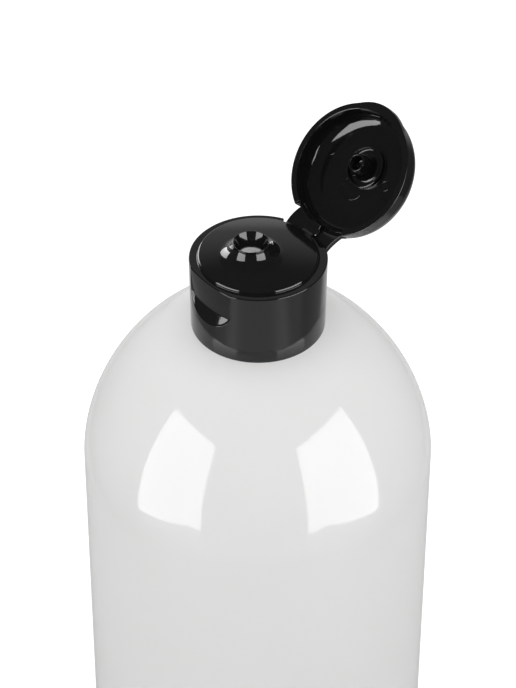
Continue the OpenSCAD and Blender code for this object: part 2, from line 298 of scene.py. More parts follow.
def shoulder(inset, count):
    """Dome and arc from the body up to the neck's foot, moved inwards by inset."""
    t = DOME_END * np.linspace(0.0005, 1, count, endpoint=False)
    slope = np.linspace(JOIN_SLOPE, FOOT_SLOPE, count // 3)[:, None]
    arc = ARC_CENTRE + (ARC_R - inset) * np.hstack([np.sin(slope), np.cos(slope)])
    return np.vstack([dome(t, inset), arc])


def bottle_outline():
    """Radius and height of the bottle's skin, from the middle of its foot round to its inside. The neck's
    fillet starts at 266 degrees, which is level with the shoulder's last slope."""
    wall = BOTTLE_WALL
    ring_r = BODY_R - HEEL_R
    dish_r, dish_z = ring_r - DISH_W, PUSH_UP * DISH_SHARE
    bevel = (ring_r - RING_BEVEL_W, RING_BEVEL_H)
    neck_low = NECK_FOOT + NECK_FILLET
    outside = [
        line((0, PUSH_UP), (dish_r, dish_z), 10),
        line((dish_r, dish_z), bevel, 6),
        line(bevel, (ring_r - RING_W, 0), 3),
        line((ring_r - RING_W, 0), (ring_r, 0), 4),
        bend((ring_r, HEEL_R), HEEL_R, -90, 0, 20),
        line((BODY_R, HEEL_R), (BODY_R, STRAIGHT_H), 14),
        shoulder(0, 66),
        bend((NECK_R + NECK_FILLET, neck_low), NECK_FILLET, 266, 180, 6),
    ]
    neck = [
        line((NECK_R, neck_low), (NECK_R, NECK_TOP - NECK_ROUND), 84),
        bend((NECK_R - NECK_ROUND, NECK_TOP - NECK_ROUND), NECK_ROUND, 0, 90, 5),
        line((NECK_R - NECK_ROUND, NECK_TOP), (NECK_IN_R + MOUTH_ROUND, NECK_TOP), 3),
        bend((NECK_IN_R + MOUTH_ROUND, NECK_TOP - MOUTH_ROUND), MOUTH_ROUND, 90, 180, 4),
        line((NECK_IN_R, NECK_TOP - MOUTH_ROUND), (NECK_IN_R, NECK_FOOT - wall - 0.3), 12),
    ]
    inside = [
        shoulder(wall, 36)[::-1],
        line((BODY_R - wall, STRAIGHT_H), (BODY_R - wall, HEEL_R), 8),
        bend((ring_r, HEEL_R), HEEL_R - wall, 0, -90, 8),
        line((ring_r, wall), (dish_r, wall + dish_z), 5),
        line((dish_r, wall + dish_z), (0, wall + PUSH_UP), 6),
        np.array([[0, wall + PUSH_UP]]),
    ]
    return np.vstack(outside + neck + inside)


# %% Bottle mesh
UNDER_RIM = 2.4
THREAD_START = NECK_TOP - UNDER_RIM - PITCH * TURNS
NECK_RIDGE = {"half_base": 1.1, "half_crest": 0.45}
outline = bottle_outline()
turn = even_angles(192)[None, :]
radius, height = np.hsplit(outline, 2)
on_neck = (np.abs(radius - NECK_R) < 0.01) & (height > NECK_FOOT + 0.6) & (height < NECK_TOP - 0.3)
ridge = thread_height(turn, height, THREAD_START, **NECK_RIDGE)
radius = radius + np.where(on_neck, ridge, 0)
bottle = add_piece("bottle_skin", round_the_axis(radius, height, turn))
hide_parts("bottle")
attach(bottle, "bottle")

# %% [markdown]
# ## The liner
#
# A ring of foamed sheet lies under the closure's deck and seals on the neck's rim. It only shows when the
# closure is off, so a ring with rounded edges is all that it needs.

# %% Liner mesh
LINER_EDGE = 0.12
LINER_INSET = 0.4
liner_low, liner_high = node_size("liner")
in_r, out_r = NECK_IN_R - LINER_INSET + LINER_EDGE, liner_high[0] - LINER_EDGE
low_z, high_z = liner_low[2] + LINER_EDGE, liner_high[2] - LINER_EDGE
corners = [(out_r, low_z, -90), (out_r, high_z, 0), (in_r, high_z, 90), (in_r, low_z, 180)]
liner_outline = np.vstack([bend((r, z), LINER_EDGE, a, a + 90, 5) for r, z, a in corners])
turn = even_angles(96)[None, :]
liner = add_piece("liner_ring", turned_rows(liner_outline, turn), closed_rows=True)
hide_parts("liner")
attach(liner, "liner")

# %% [markdown]
# ## The closure's base
#
# The base is one ring-shaped skin: up the threaded bore, round the lower edge, up the outer wall, over the
# ledge, the crowned deck and the flared spout, and down through the spout's hole to the bore again. The
# spout stands off the axis, so the rows' centres slide forward as they shrink towards it.
#
# Two things break the round wall. The thumb recess in front is a U with a back wall and a sloping floor,
# and the window at the back makes room for the hinge straps. Both are changes of radius and height on the
# same grid, which has closer rows and columns there. An edge drawn over two or three cells comes out
# rounded, as on the real moulding, where nothing is knife-sharp.

# %% Base sizes
DECK_R = 12.3
DECK_STEP = 0.85
DECK_CROWN = 1.1
DECK_EDGE = 0.55
DECK_UNDER = -0.4
BORE_R = NECK_R + THREAD_DEPTH + 0.25
SPOUT_OFF = 1.9
SPOUT_R = 3.7
SPOUT_IN_R = 3.45
HOLE_R = 2.17
HOLE_Z, HOLE_LOW_Z = 2.15, 1.9
FLARE_R = 3.1
FLARE_STOP = 0.2
SPOUT_ROUND = 0.13
RIM = 0.15
STEP_ROUND = 0.12
LOW_ROUND = 0.3
LEAD_IN_H, LEAD_IN_W = 0.7, 0.52
HOLLOW_R, HOLLOW_IN_R, HOLLOW_TOP = 7.2, 3.6, 0.75

# %% Base outline
deck_flat_r = DECK_R - DECK_EDGE
deck_tilt = math.degrees(math.atan(2 * DECK_CROWN / deck_flat_r))


def deck_height(x, y):
    """Crown of the deck: its middle's height less DECK_CROWN times the squared share of its radius."""
    return DECK_STEP + DECK_CROWN * (1 - (x**2 + y**2) / deck_flat_r**2)


bore_rows = line((BORE_R, DECK_UNDER), (BORE_R, -WALL_H + LEAD_IN_H), 56)
lower_rows = np.vstack([
    line((BORE_R, -WALL_H + LEAD_IN_H), (BORE_R + LEAD_IN_W, -WALL_H + 0.05), 5),
    line((BORE_R + LEAD_IN_W + 0.05, -WALL_H), (CAP_LOW_R - LOW_ROUND, -WALL_H), 4),
    bend((CAP_LOW_R - LOW_ROUND, -WALL_H + LOW_ROUND), LOW_ROUND, -90, 0, 6),
])
below_recess = (CAP_R - 0.15, -10.2)
wall_rows = np.vstack([
    line((CAP_LOW_R, -WALL_H + LOW_ROUND), below_recess, 8),
    line(below_recess, (CAP_R, -RIM), 82),
])
rim_rows = bend((CAP_R - RIM, -RIM), RIM, 0, 90, 5)
ledge_rows = line((CAP_R - RIM, 0), (DECK_R + STEP_ROUND, 0), 7)
step_rows = np.vstack([
    bend((DECK_R + STEP_ROUND, STEP_ROUND), STEP_ROUND, 270, 180, 4),
    line((DECK_R, STEP_ROUND), (DECK_R, DECK_STEP - DECK_EDGE), 2),
    bend((deck_flat_r, DECK_STEP - DECK_EDGE), DECK_EDGE, 0, 90 - deck_tilt, 9),
])
deck_rows = line((deck_flat_r + 0.08, 0), (SPOUT_R + FLARE_R, 0), 18)
flare_turn = np.radians(np.linspace(90, 3, 30))[:, None]
flare_rows = SPOUT_R - 0.05 + FLARE_R * (1 - np.cos(flare_turn))
lip_rows = np.vstack([
    bend((SPOUT_R - SPOUT_ROUND, SPOUT_H - SPOUT_ROUND), SPOUT_ROUND, 0, 90, 5),
    bend((SPOUT_IN_R + 0.1, SPOUT_H - 0.06), 0.06, 90, 180, 4),
    line((SPOUT_IN_R, SPOUT_H - 0.1), (HOLE_R, HOLE_Z), 12),
    line((HOLE_R, HOLE_Z), (HOLE_R, HOLE_LOW_Z), 3),
    line((HOLE_R + 0.06, HOLE_LOW_Z - 0.06), (HOLE_R + 0.6, 1.2), 4),
    line((HOLLOW_IN_R, HOLLOW_TOP), (HOLLOW_R, DECK_UNDER), 6),
])
under_rows = line((HOLLOW_R, DECK_UNDER), (BORE_R, DECK_UNDER), 5)
print(f"deck's edge leans {deck_tilt:.1f} degrees, bore radius {BORE_R:.2f} mm")

# %% [markdown]
# ### Thumb recess and window
#
# The recess is a pocket between the round wall and a surface of larger radius whose axis lies behind the
# closure's. At an angle a from the front, that surface's radius r solves the triangle of its axis, the
# closure's axis and the point: r = -k cos a + sqrt(q^2 - k^2 sin^2 a), where k is the distance of the axes
# and q the larger radius less the pocket's depth. A signed distance to the U, in the plane that faces the
# front, says which points are inside.

# %% Recess function
RECESS_HALF_W = 6.05
RECESS_H = 9.5
RECESS_STRAIGHT = RECESS_H * 0.515
RECESS_BACK_Z = -RECESS_H * 0.69
RECESS_R = 32.0
RECESS_TOP, RECESS_LOW = 0.75, 1.25
RECESS_EDGE = 0.24
RECESS_SILL = 0.14
RECESS_CREASE = 0.06
RECESS_BLEND = 0.05


def wall_radius(height):
    """Radius of the tapered outer wall at a height below the ledge."""
    return CAP_R - (CAP_R - CAP_LOW_R) * np.clip(-height / WALL_H, 0, 1)


def inside_u(x, z):
    """Signed distance in millimetres to the U outline, positive inside: half the width less |x| on its
    straight sides, and one minus the ellipse's function over its slope below them."""
    straight = RECESS_HALF_W - np.abs(x)
    round_h = RECESS_H - RECESS_STRAIGHT
    low = np.minimum(z + RECESS_STRAIGHT, 0)
    ellipse = np.sqrt((x / RECESS_HALF_W) ** 2 + (low / round_h) ** 2) + 1e-9
    slope = np.sqrt((x / RECESS_HALF_W**2) ** 2 + (low / round_h**2) ** 2) / ellipse + 1e-9
    return np.where(z > -RECESS_STRAIGHT, straight, (1 - ellipse) / slope)


def recess_depth(angle, height):
    """How far the recess cuts into the wall at an angle from the front and a height."""
    z = np.minimum(height, 0)
    wall = wall_radius(z)
    down = np.clip(z / RECESS_BACK_Z, 0, 1)
    on_back = RECESS_TOP + (RECESS_LOW - RECESS_TOP) * down
    out = (z - RECESS_BACK_Z) / (-RECESS_H - RECESS_BACK_Z)
    on_floor = RECESS_LOW + (RECESS_SILL - RECESS_LOW) * out
    pocket = -soft_max(-on_back, -on_floor, RECESS_CREASE)
    k = RECESS_R - CAP_R
    q = RECESS_R - pocket
    behind = -k * np.cos(angle) + np.sqrt(q**2 - (k * np.sin(angle)) ** 2)
    depth = np.maximum(wall - behind, 0)
    mask = smooth_step(0.5 + inside_u(wall * np.sin(angle), z) / RECESS_EDGE)
    return np.where(np.cos(angle) > 0, soft_max(depth, 0, RECESS_BLEND) * mask, 0)


# %% Window and post functions
POST_HALF = math.radians(6.2)
BASE_WINDOW = math.radians(27.3)
BASE_WINDOW_H = 3.3
LID_WINDOW = math.radians(30.5)
LID_WINDOW_H = 2.3
WINDOW_IN_R = DECK_R + 0.45
WINDOW_EDGE = math.radians(0.6)
BASE_FAR_EDGE = math.radians(2.4)
FILM_SEAT = 0.4
NO_LIMIT = 99.0


def from_back(angle):
    """Size of the angle from the middle of the hinge."""
    return np.abs((angle % (2 * np.pi)) - np.pi)


def window_share(angle, far, far_edge):
    """1 in the two windows beside the hinge's post, which reach out to the angle far, and 0 elsewhere,
    with a rounded step at each end. The one at the far end is as wide as far_edge."""
    away = from_back(angle)
    after_post = smooth_step(0.5 + (away - POST_HALF) / WINDOW_EDGE)
    before_end = smooth_step(0.5 + (far - away) / far_edge)
    return after_post * before_end


def seat_radius(angle, depth):
    """Largest radius on the post where the film hinge sits, at a depth from the post's end: a plane that
    slopes across the outer edge, so its y, which is the radius times the cosine, has a limit."""
    limit = (CAP_R - FILM_SEAT + depth) / np.cos(from_back(angle))
    return np.where(from_back(angle) < 1.2 * POST_HALF, limit, NO_LIMIT)


def hinge_columns(far, front_half, front_count, side_count):
    """Angles round the whole piece, with closer ones in front and at both ends of each window."""
    post, far = math.degrees(POST_HALF), math.degrees(far)
    half = [
        (front_half, 180 - far - 1, side_count),
        (180 - far - 1, 180 - far + 2, 14),
        (180 - far + 2, 180 - post - 0.9, 18),
        (180 - post - 0.9, 180 - post + 0.9, 12),
        (180 - post + 0.9, 180, 6),
    ]
    mirrored = [(360 - end, 360 - start, count) for start, end, count in half[::-1]]
    return packed_angles((-front_half, front_half, front_count), *half, *mirrored)


# %% Base mesh
CAP_RIDGE = {"half_base": 0.86, "half_crest": 0.3}


def base_surface(angle):
    """Grid of the base's skin. Every part of the outline becomes rows at all angles, and the recess and
    the window change the rows of the wall, rim and ledge."""
    a = angle[None, :]
    ridge_start = THREAD_START - LEDGE_Z - PITCH / 2
    r, z = np.hsplit(bore_rows, 2)
    ridge = thread_height(a, z, ridge_start, **CAP_RIDGE)
    parts = [round_the_axis(r - ridge, z, a)]
    parts.append(turned_rows(lower_rows, a))

    share = window_share(a, BASE_WINDOW - BASE_FAR_EDGE / 4, BASE_FAR_EDGE)
    r, z = np.hsplit(wall_rows, 2)
    r = np.minimum(r - recess_depth(a, z), seat_radius(a, -z))
    up = np.clip((z + BASE_WINDOW_H) / (BASE_WINDOW_H - RIM), 0, 1)
    window_r = wall_radius(-BASE_WINDOW_H) * (1 - up) + WINDOW_IN_R * up
    r = np.where(z > -BASE_WINDOW_H, r * (1 - share) + window_r * share, r)
    z = np.where(z > -BASE_WINDOW_H, z * (1 - share) - BASE_WINDOW_H * share, z)
    parts.append(round_the_axis(r, z, a))

    top_depth = recess_depth(a, np.zeros_like(a))
    r, z = rim_rows[:, :1] - top_depth, rim_rows[:, 1:]
    r = np.minimum(r, seat_radius(a, -z))
    climb = np.linspace(0, 1, len(rim_rows), endpoint=False)[:, None]
    r = r * (1 - share) + WINDOW_IN_R * share
    z = z * (1 - share) - BASE_WINDOW_H * (1 - climb) * share
    parts.append(round_the_axis(r, z, a))

    across = (ledge_rows[:, :1] - DECK_R) / (CAP_R - RIM - DECK_R)
    ledge_end = np.minimum(CAP_R - RIM - top_depth, seat_radius(a, 0) - 0.02)
    ledge_r = DECK_R + across * (ledge_end - DECK_R)
    window_r = DECK_R + across * (WINDOW_IN_R - DECK_R)
    parts.append(round_the_axis(ledge_r * (1 - share) + window_r * share, 0.0, a))
    parts.append(turned_rows(step_rows, a))

    r = deck_rows[:, :1]
    slide = SPOUT_OFF * smooth_step((deck_flat_r - r) / (deck_flat_r - SPOUT_R - FLARE_R))
    on_deck = round_the_axis(r, 0.0, a, slide)
    on_deck[..., 2] = deck_height(on_deck[..., 0], on_deck[..., 1])
    parts.append(on_deck)
    on_flare = round_the_axis(flare_rows, 0.0, a, SPOUT_OFF)
    deck = deck_height(on_flare[..., 0], on_flare[..., 1])
    on_flare[..., 2] = deck + (SPOUT_H - FLARE_STOP - deck) * (1 - np.sin(flare_turn))
    parts.append(on_flare)
    parts.append(turned_rows(lip_rows, a, SPOUT_OFF))
    back = np.linspace(SPOUT_OFF, 0, len(under_rows))[:, None]
    parts.append(round_the_axis(under_rows[:, :1], DECK_UNDER, a, back))
    return np.vstack(parts) + np.array([0, 0, LEDGE_Z])


base_columns = hinge_columns(BASE_WINDOW, front_half=27, front_count=136, side_count=46)
base = add_piece("closure_base", base_surface(base_columns), closed_rows=True)
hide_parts("cap_base")
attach(base, "cap")

# %% [markdown]
# ## The lid
#
# The lid is worked out shut, in the same frame as the base, and then turned open about the hinge line. Its
# outline runs from the middle of its outside over the rounded edge to the rim, up the inner wall and
# across the ceiling to the ring that closes round the spout's lip and the hollow pintle that plugs the hole.
# In front, a disc that is pushed forward gives the thumb lip. At the back the wall stops short, where the
# hinge straps run in.

# %% Lid sizes
LID_H = 6.4
LID_CROWN = 0.1
LID_ROUND = 4.4
LID_DRAFT = 0.12
LID_EDGE = 0.14
LID_IN_R = 12.7
LID_IN_DRAFT = 0.05
LID_GAP = 0.03
CEILING = 5.1
FILLET_IN = 2.7
RIM_BREAK = 0.06
LIP_OUT = 0.7
LIP_HALF = math.radians(27)
LIP_H, LIP_TAPER_H = 1.23, 1.4
LIP_BLEND = 0.12
RING_IN, RING_OUT, RING_LOW = 3.97, 4.45, 4.15
RING_ROOT, RING_EDGE = 0.1, 0.05
BEAD_HALF = math.radians(26)
BEAD_OUT = 0.1
BEAD_Z, BEAD_W = 0.62, 0.26
WINDOW_DRAFT = 0.34

lip_reach = CAP_R + LIP_OUT
lip_y = (lip_reach**2 - CAP_R**2) / (2 * (lip_reach - CAP_R * math.cos(LIP_HALF)))
lip_r = lip_reach - lip_y
print(f"thumb lip: a disc of {lip_r:.2f} mm radius, {lip_y:.2f} mm in front of the axis")

# %% Lid outline
side_r = CAP_R - LID_DRAFT
lid_outside = np.vstack([
    line((0, LID_H + LID_CROWN), (side_r - LID_ROUND, LID_H), 16),
    bend((side_r - LID_ROUND, LID_H - LID_ROUND), LID_ROUND, 90, 0, 34),
    line((side_r, LID_H - LID_ROUND), (CAP_R, LID_GAP + LID_EDGE), 22),
    bend((CAP_R - LID_EDGE, LID_GAP + LID_EDGE), LID_EDGE, 0, -90, 5),
])
rim_in = LID_IN_R + RIM_BREAK
lid_rim = np.vstack([
    line((CAP_R - LID_EDGE, LID_GAP), (rim_in + 0.03, LID_GAP), 7),
    np.array([[rim_in, LID_GAP]]),
])
top_in_r = LID_IN_R - LID_IN_DRAFT
lid_inside = np.vstack([
    line((rim_in, LID_GAP), (LID_IN_R, LID_GAP + RIM_BREAK), 4),
    line((LID_IN_R, LID_GAP + RIM_BREAK), (top_in_r, CEILING - FILLET_IN), 28),
    bend((top_in_r - FILLET_IN, CEILING - FILLET_IN), FILLET_IN, 0, 90, 20),
])
ceiling_rows = line((top_in_r - FILLET_IN, CEILING), (RING_OUT + 0.2, CEILING), 16)

# %% Ring and pintle outline
PLUG_R = HOLE_R - 0.12
PLUG_FOOT_R, PLUG_FILLET = 3.2, 0.7
TIP_TAPER, TIP_START, TIP_Z = 0.14, 1.2, 1.0
TIP_OUT, TIP_IN = 0.16, 0.12
tip_out_r = PLUG_R - TIP_TAPER - TIP_OUT
tip_in_r = PLUG_R - 0.45
bore_end = (PLUG_R - 0.8, 3.4)
bore_middle = (0, 3.6)
plug_rows = np.vstack([
    bend((RING_OUT + RING_ROOT, CEILING - RING_ROOT), RING_ROOT, 90, 180, 5),
    line((RING_OUT, CEILING - RING_ROOT), (RING_OUT, RING_LOW + RING_EDGE), 4),
    bend((RING_OUT - RING_EDGE, RING_LOW + RING_EDGE), RING_EDGE, 0, -90, 4),
    bend((RING_IN + RING_EDGE, RING_LOW + RING_EDGE), RING_EDGE, 270, 180, 4),
    line((RING_IN, RING_LOW + RING_EDGE), (RING_IN, CEILING - RING_ROOT), 5),
    line((RING_IN - RING_ROOT, CEILING), (PLUG_FOOT_R, CEILING), 3),
    bend((PLUG_FOOT_R, CEILING - PLUG_FILLET), PLUG_FILLET, 90, 180, 8),
    line((PLUG_FOOT_R - PLUG_FILLET, CEILING - PLUG_FILLET), (PLUG_R, HOLE_Z), 12),
    line((PLUG_R, HOLE_Z), (PLUG_R - TIP_TAPER, TIP_START), 6),
    bend((tip_out_r, TIP_Z + TIP_OUT), TIP_OUT, 0, -90, 5),
    line((tip_out_r, TIP_Z), (tip_in_r, TIP_Z), 3),
    bend((tip_in_r, TIP_Z + TIP_IN), TIP_IN, 270, 180, 4),
    line((tip_in_r - TIP_IN, TIP_Z + TIP_IN), bore_end, 8),
    line(bore_end, bore_middle, 4),
    np.array([bore_middle]),
])
print(f"pintle radius {PLUG_R:.2f} mm in a hole of {HOLE_R:.2f} mm, {len(plug_rows)} rows")


# %% Lid mesh
def lip_radius(angle, height):
    """Distance from the lid's axis to the edge of the thumb lip's disc, whose middle lies lip_y in front:
    lip_y cos a plus the root of the disc's radius squared less (lip_y sin a) squared. From LIP_H up, the
    disc tapers by a millimetre over LIP_TAPER_H."""
    disc = lip_r - np.clip((height - LIP_H) / LIP_TAPER_H, 0, 1)
    sideways = np.minimum(lip_y * np.sin(angle), disc - 0.1)
    reach = lip_y * np.cos(angle) + np.sqrt(disc**2 - sideways**2)
    return np.where(np.cos(angle) > 0, reach, 0)


def above_window(height, share, across):
    """Inside the windows' angles, rows below their top are gathered just under it, in their order. The top
    has draft: it lies lower by WINDOW_DRAFT on the inside, where across is 0, than outside, where it is 1."""
    top = LID_WINDOW_H - WINDOW_DRAFT * (1 - across)
    gathered = top - 0.03 * (top - height) / LID_WINDOW_H
    return np.where(height < top, height * (1 - share) + gathered * share, height)


def lid_surface(angle):
    """Grid of the shut lid's skin, with the ledge at height 0. The bead that clicks over the deck is a
    bell curve of the height, exp(-((z - BEAD_Z) / BEAD_W) squared), within BEAD_HALF of the front."""
    a = angle[None, :]
    share = window_share(a, LID_WINDOW, WINDOW_EDGE)
    r, z = np.hsplit(lid_outside, 2)
    with_lip = soft_max(r, lip_radius(a, z), LIP_BLEND)
    corner = np.clip((z - LID_GAP) / LID_EDGE, 0, 1)
    with_lip = with_lip - LID_EDGE * (1 - np.sqrt(1 - (1 - corner) ** 2))
    low = z < LID_H - LID_ROUND + 1.2
    r = np.where(low & (r > LID_IN_R), np.maximum(with_lip, r), r)
    r = np.minimum(r, seat_radius(a, z - LID_GAP))
    parts = [round_the_axis(r, above_window(z, share, 1.0), a)]
    rim_out = r[-1:, :] - 0.05
    across = (lid_rim[:, :1] - rim_in) / (CAP_R - LID_EDGE - rim_in)
    r = rim_in + across * (rim_out - rim_in)
    parts.append(round_the_axis(r, above_window(lid_rim[:, 1:], share, across), a))
    r, z = np.hsplit(lid_inside, 2)
    from_front = np.abs((a + np.pi) % (2 * np.pi) - np.pi)
    bead = BEAD_OUT * np.exp(-(((z - BEAD_Z) / BEAD_W) ** 2))
    bead = bead * smooth_step(0.5 + (BEAD_HALF - from_front) / 0.03) * (z < CEILING - FILLET_IN)
    parts.append(round_the_axis(r - bead, above_window(z, share, 0.0), a))
    r = ceiling_rows[:, :1]
    slide = SPOUT_OFF * smooth_step((r[0] - r) / (r[0] - RING_OUT - 0.2))
    parts.append(round_the_axis(r, CEILING, a, slide))
    parts.append(turned_rows(plug_rows, a, SPOUT_OFF))
    return np.vstack(parts)


def opened(points):
    """Turns points of the shut lid's frame about the hinge line by the angle at which it stands open:
    y' = y cos b - z sin b and z' = y sin b + z cos b, with b the negative of that angle."""
    b = -OPEN_ANGLE
    y, z = points[..., 1] - HINGE_Y, points[..., 2]
    turned_y = HINGE_Y + y * math.cos(b) - z * math.sin(b)
    turned_z = LEDGE_Z + y * math.sin(b) + z * math.cos(b)
    return np.stack([points[..., 0], turned_y, turned_z], -1)


lid_columns = hinge_columns(LID_WINDOW, front_half=34, front_count=90, side_count=46)
lid = add_piece("closure_lid", opened(lid_surface(lid_columns)))
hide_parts("lid")
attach(lid, "lid")

# %% [markdown]
# ### Moulding marks inside the lid
#
# The pins that push a moulding out of its mould leave shallow round marks on the hidden face. Two such rims
# and one larger plain ring stand a tenth of a millimetre off the ceiling, which is enough to catch a line of
# light.

# %% Marks
MARK_W = 0.14
MARK_H = 0.09
MARK_SINK = 0.03
MARKS = [
    ("mark_pin_left", -10.0, 15.3, 1.0),
    ("mark_pin_right", 6.4, 15.2, 1.0),
    ("mark_ring", -0.35, 11.3, 2.6),
]


def ring_mark(name, x, from_hinge, ring_radius):
    """Raised ring on the ceiling: a flat half-round section carried round a circle."""
    section = np.radians(np.linspace(0, 180, 7))
    across = ring_radius + MARK_W * np.cos(section)
    height = CEILING + MARK_SINK - (MARK_H + MARK_SINK) * np.sin(section)
    a = even_angles(72)[None, :]
    grid = round_the_axis(across[:, None], height[:, None], a) + np.array([x, HINGE_Y - from_hinge, 0])
    return add_piece(name, opened(grid), closed_rows=True)


marks = []
for mark_name, x, from_hinge, ring_radius in MARKS:
    mark = ring_mark(mark_name, x, from_hinge, ring_radius)
    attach(mark, "lid")
    marks.append(mark)

# %% [markdown]
# ## The hinge
#
# A snap hinge has a film in the middle, which is its true axis, and a strap on each side, whose pull makes
# the lid snap to open or shut. All are moulded in one piece with base and lid. Each strap is a rounded bar
# whose middle line is a Bezier curve from the floor of the base's window to the top of the lid's, and the
# film is a short web between the two posts, thin where it folds. They cross the joint, and are made where
# the lid stands open, attached to neither body.

# %% Strap surface
STRAP_T = 1.25
STRAP_CLEAR = math.radians(-0.2)
CLEAR_BASE = math.radians(0.3)
CLEAR_LID = math.radians(2)
STRAP_MID_R = (WINDOW_IN_R + CAP_R) / 2
STRAP_SINK = 0.15
STRAP_TIP = 0.55
BASE_PULL, LID_PULL = 2.8, 0.9
ROUNDNESS = 0.14


def rounded(value):
    """Keeps the sign of a cosine or sine and raises its size to ROUNDNESS, which makes a circle's section
    into a rounded bar's."""
    return np.sign(value) * np.abs(value) ** ROUNDNESS


def opened_yz(y, z):
    """Turns y and z of the shut lid's frame to where they are on the open lid, as opened() does."""
    turned = opened(np.stack([np.zeros_like(y), y, z], -1))
    return turned[..., 1:] - np.array([0, LEDGE_Z])


def closed_bar(x, yz):
    """Rows of points from x and yz, between two rows that are shrunk to the middle of the first and of the
    last one, which closes the bar's ends."""
    rows = np.stack([x, yz[..., 0], yz[..., 1] + LEDGE_Z], -1)
    first, last = (np.broadcast_to(end.mean(1, keepdims=True), end.shape) for end in (rows[:1], rows[-1:]))
    return np.vstack([first, rows, last])


def strap_surface(side, rows, columns):
    """Grid of one strap. Across it, points lie on the closure's own curve, at angles from the hinge's
    middle. Along it, the middle line is the cubic Bezier of four control points, and the thickness goes
    with a sine from STRAP_TIP of STRAP_T at both ends to all of it in the middle, square to the line."""
    around = even_angles(columns)[None, :]
    s = np.linspace(0, 1, rows)[:, None]
    across = (1 + rounded(np.cos(around))) / 2
    first = POST_HALF + STRAP_CLEAR
    at_base = first + (BASE_WINDOW - CLEAR_BASE - first) * across
    at_lid = first + (LID_WINDOW - CLEAR_LID - first) * across
    near_y = STRAP_MID_R * np.cos(at_base)
    p0 = np.stack([near_y, np.full_like(near_y, -BASE_WINDOW_H - STRAP_SINK)], -1)
    far_y = STRAP_MID_R * np.cos(at_lid)
    p3 = opened_yz(far_y, np.full_like(far_y, LID_WINDOW_H))
    p1 = p0 + np.array([0, BASE_PULL + STRAP_SINK])
    p2 = p3 - LID_PULL * np.array([math.sin(OPEN_ANGLE), math.cos(OPEN_ANGLE)])
    t = s[..., None]
    middle = (1 - t) ** 3 * p0 + 3 * t * (1 - t) ** 2 * p1 + 3 * t**2 * (1 - t) * p2 + t**3 * p3
    along = 3 * (1 - t) ** 2 * (p1 - p0) + 6 * t * (1 - t) * (p2 - p1) + 3 * t**2 * (p3 - p2)
    along = along / np.linalg.norm(along, axis=-1, keepdims=True)
    square = np.stack([-along[..., 1], along[..., 0]], -1)
    thickness = STRAP_T * (STRAP_TIP + (1 - STRAP_TIP) * np.sin(np.pi * s))
    half = thickness / 2 * rounded(np.sin(around))
    yz = middle + square * half[..., None]
    x = np.sin(at_base) + (np.sin(at_lid) - np.sin(at_base)) * smooth_step(s)
    return closed_bar(side * STRAP_MID_R * x, yz)


# %% Film surface
FILM_HALF_W = 2.0
FILM_HALF_T = 0.2
FILM_INSET = 0.06


def film_surface(rows, columns):
    """Grid of the film between the two posts. Its upper and lower line are quadratic curves from the base
    post's seat to the lid post's, which pass FILM_HALF_T above and below the hinge line, and the section
    is a rounded bar between them."""
    around = even_angles(columns)[None, :]
    t = np.linspace(0, 1, rows)[:, None, None]
    seat_y, low_y = CAP_R - FILM_SEAT, CAP_R - FILM_INSET
    low = FILM_SEAT - FILM_INSET
    upper = [np.array([seat_y, 0.0]), opened_yz(np.array(seat_y), np.array(LID_GAP))]
    lower = [np.array([low_y, -low]), opened_yz(np.array(low_y), np.array(LID_GAP + low))]
    lines = []
    for (start, end), lift in ((upper, FILM_HALF_T), (lower, -FILM_HALF_T)):
        bow = 2 * np.array([HINGE_Y, lift]) - (start + end) / 2
        lines.append((1 - t) ** 2 * start + 2 * t * (1 - t) * bow + t**2 * end)
    share = (1 + rounded(np.sin(around)))[..., None] / 2
    yz = lines[0] * share + lines[1] * (1 - share)
    x = np.broadcast_to(FILM_HALF_W * rounded(np.cos(around)), yz.shape[:2])
    return closed_bar(x, yz)


# %% Hinge meshes
strap_start = Vector((0, STRAP_MID_R * 0.94, LEDGE_Z - BASE_WINDOW_H * 0.6)) * MM
strap_end = Vector((0, HINGE_Y + LID_WINDOW_H * 1.1, LEDGE_Z - 0.6)) * MM
film_start = Vector((0, CAP_R - 0.3, LEDGE_Z - 0.1)) * MM
film_end = Vector((0, HINGE_Y + 0.5, LEDGE_Z + 0.1)) * MM
left, right = (strap_surface(side, rows=48, columns=72) for side in (-1, 1))
film = film_surface(rows=24, columns=48)
hinge_pieces = [
    ("hinge_band_left", "hinge_strap_left", left, strap_start, strap_end),
    ("hinge_band_right", "hinge_strap_right", right, strap_start, strap_end),
    ("hinge_web", "hinge_film", film, film_start, film_end),
]
closure = [base, lid]
for name, node, surface, start, end in hinge_pieces:
    piece = add_piece(name, surface)
    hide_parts(node)
    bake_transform(piece)
    closure.append(piece)

# %% [markdown]
# ## Shader expressions
#
# A material is a sum of small formulas. This class wraps a node's output socket, so that plus, minus and
# times add Math nodes, and one method adds any other node from its type, its settings and its inputs.


